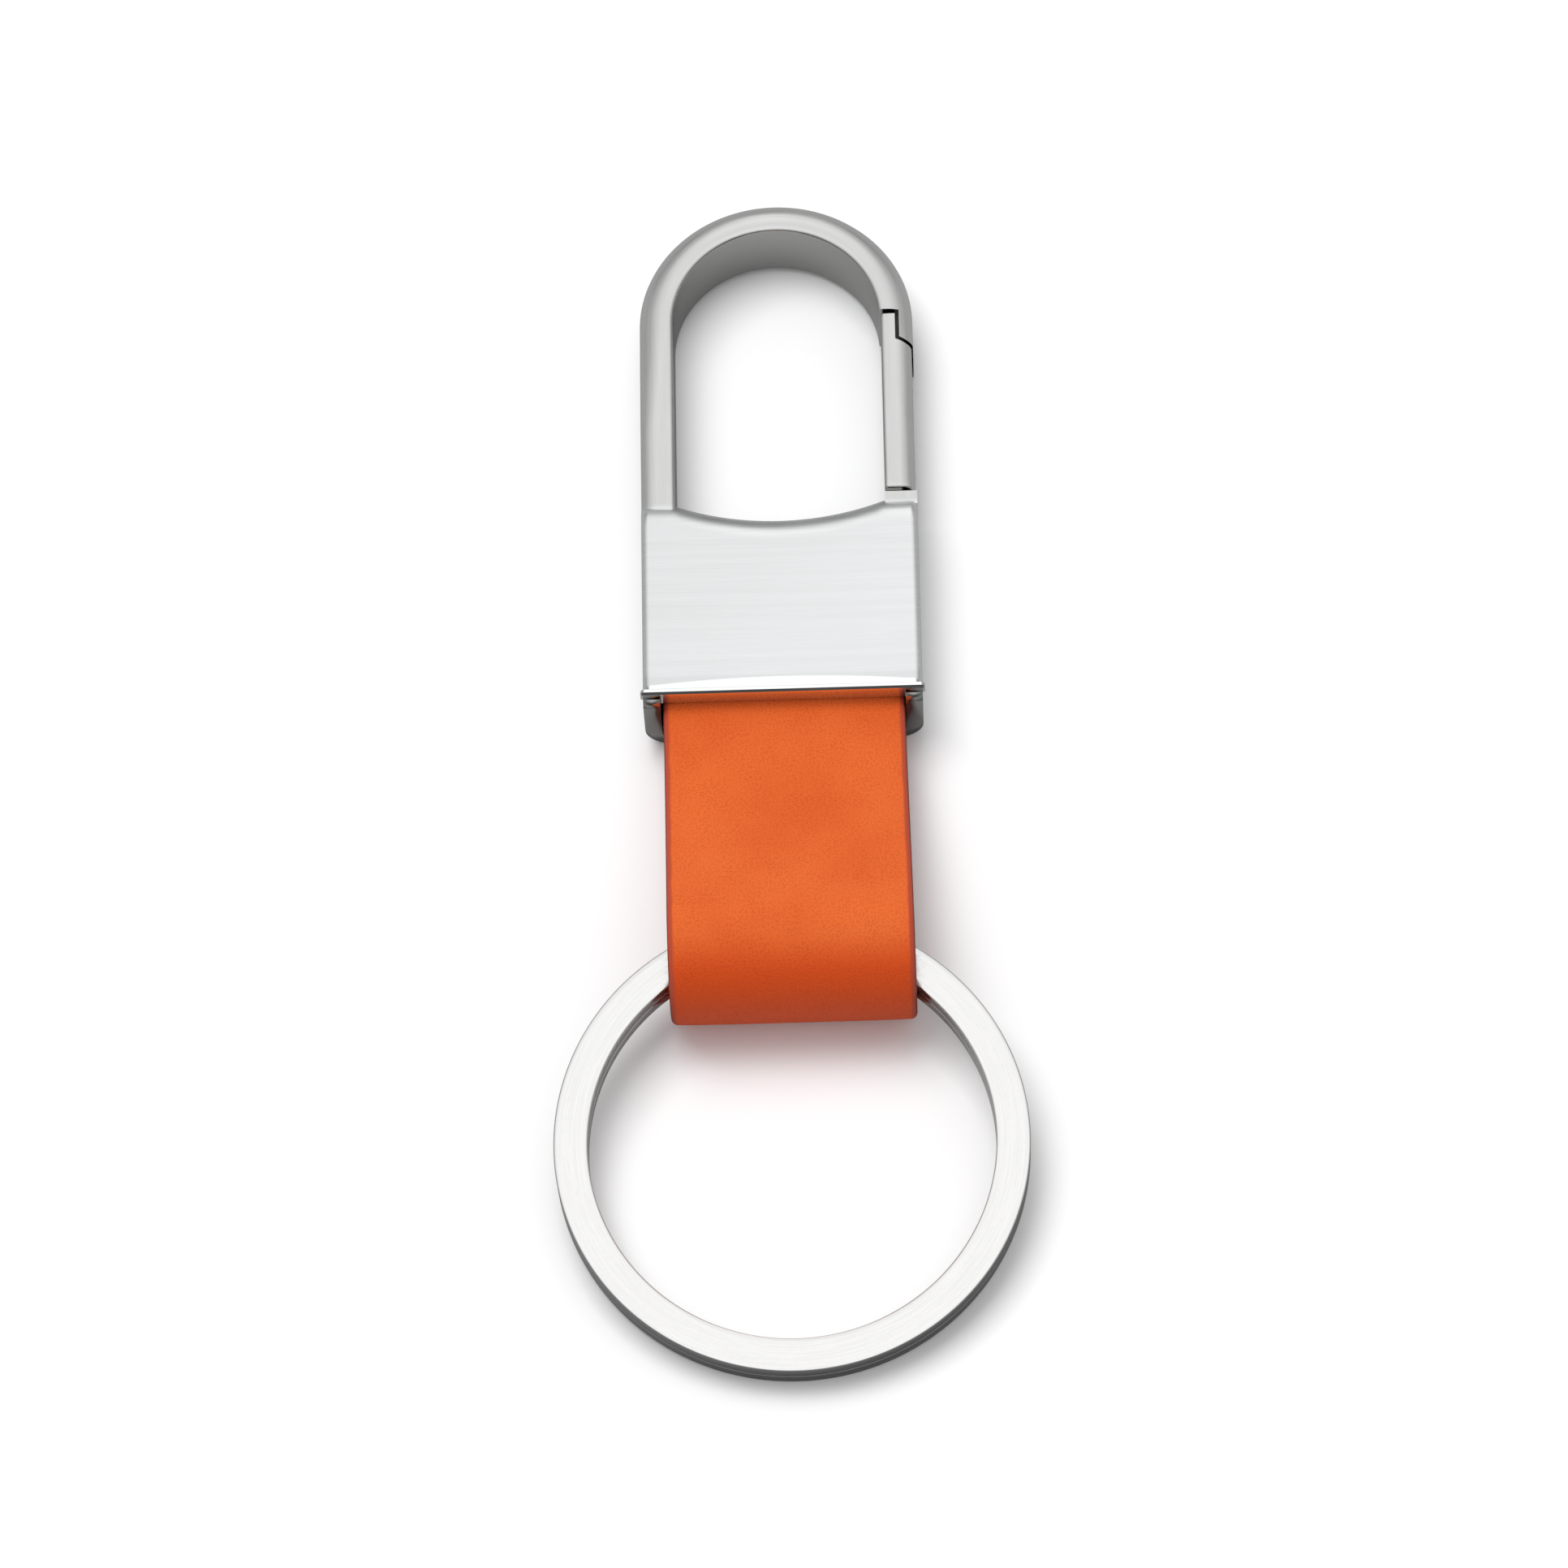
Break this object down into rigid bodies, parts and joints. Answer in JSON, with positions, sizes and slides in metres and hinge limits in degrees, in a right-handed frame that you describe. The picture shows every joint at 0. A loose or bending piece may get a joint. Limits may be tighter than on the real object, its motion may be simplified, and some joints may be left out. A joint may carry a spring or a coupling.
{
  "type": "carabiner keyring",
  "caption": "Bag-hook clasp with an inward-opening spring gate, a folded leather strap clamped in its foot, and a flat split ring in the fold.",
  "frame": {"origin": "centre of the clasp block's flat back face, which the keyring lies on", "axes": "+Y along the keyring towards the crown of the hook, +Z out of the block's front face, +X on the gate's side"},
  "size_m": [0.03, 0.0827, 0.0092],
  "materials": {
    "plated_casting": "bright nickel plate, with fine straight brushing across the block's face",
    "plated_cover": "bright nickel plate",
    "screw_steel": "nickel-plated, plain slot",
    "pin_steel": "ground",
    "spring_steel": "drawn wire",
    "face_leather": "orange calf with a fine pebbled grain and darker painted edges",
    "lining_leather": "orange calf, smooth, with darker painted edges",
    "ring_steel": "polished nickel plate"
  },
  "bodies": {
    "clasp": {"hook_body": "plated_casting", "back_plate": "plated_cover", "clamp_screws": "screw_steel", "gate_pin": "pin_steel", "gate_spring": "spring_steel", "strap_face_tails": "face_leather", "strap_lining_tails": "lining_leather"},
    "gate": {"gate": "plated_casting"},
    "strap": {"strap_face_loop": "face_leather", "strap_lining_loop": "lining_leather"},
    "ring": {"split_ring": "ring_steel"}
  },
  "joints": [
    {"name": "gate_pivot", "type": "hinge", "parent": "clasp", "child": "gate", "pos_m": [0.00745, 0.0066, 0.003], "axis": [0, 0, 1], "range_deg": [0, 28], "stiffness_Nm_per_rad": 0.015, "springref_deg": -45.84, "deforming": ["gate_spring"]},
    {"name": "strap_flex", "type": "hinge", "parent": "clasp", "child": "strap", "pos_m": [0, -0.0116, 0.003], "axis": [-1, 0, 0], "range_deg": [-20, 35], "stiffness_Nm_per_rad": 0.03},
    {"name": "ring_swing", "type": "hinge", "parent": "strap", "child": "ring", "pos_m": [0, -0.025, 0.0046], "axis": [-1, 0, 0], "range_deg": [-145, 155]}
  ]
}
